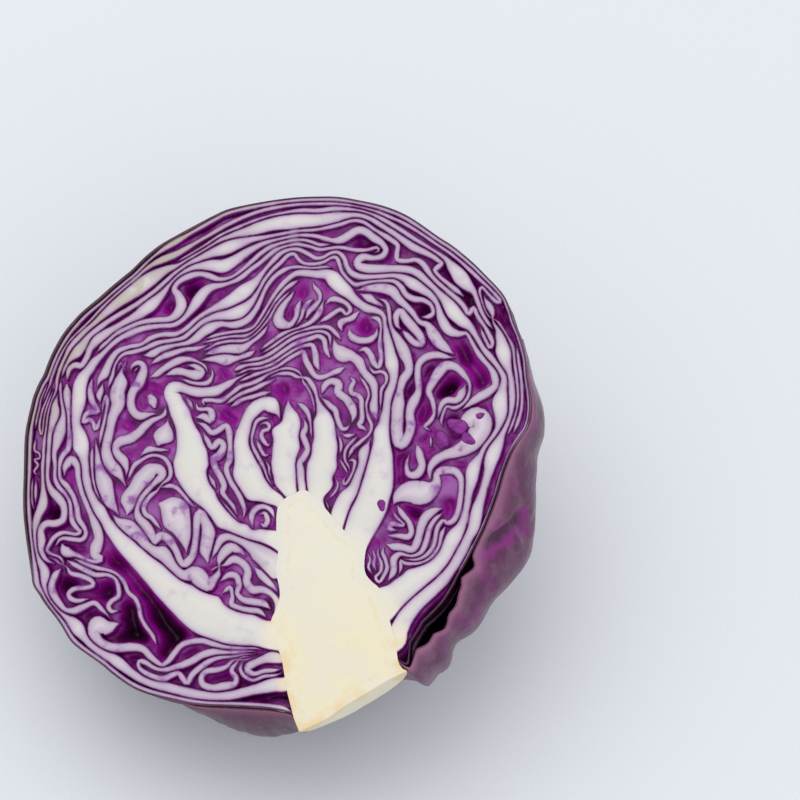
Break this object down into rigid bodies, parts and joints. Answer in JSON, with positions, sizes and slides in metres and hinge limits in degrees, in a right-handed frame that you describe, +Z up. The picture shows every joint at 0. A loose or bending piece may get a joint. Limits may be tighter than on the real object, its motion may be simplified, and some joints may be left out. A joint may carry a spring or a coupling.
{
  "type": "red cabbage half",
  "caption": "Half a head of red cabbage, cut lengthwise: a solid core, nested leaves with folded cut edges and loose outer leaves.",
  "frame": {"origin": "centre of the bounding box in plan, on the surface that the half head lies on", "axes": "+Z up; the cut face looks up and leans 20 degrees towards -Y, with the stem end towards +X and -Y"},
  "size_m": [0.1292, 0.1316, 0.0835],
  "materials": {
    "skin": "dusky purple leaf skin with a waxy bloom",
    "leaf": "cut leaf, white flesh between thin purple skins",
    "core": "moist cream-white stem flesh"
  },
  "bodies": {
    "root": {"core": "core", "heart_bud": "leaf", "leaf_01": "skin", "leaf_02": "leaf", "leaf_03": "leaf", "leaf_04": "leaf", "leaf_05": "leaf", "leaf_06": "leaf", "leaf_07": "leaf", "leaf_08": "leaf", "leaf_09": "leaf", "leaf_10": "leaf", "leaf_11": "leaf", "leaf_12": "leaf", "wrapper_left": "skin", "wrapper_right": "skin"}
  },
  "joints": []
}
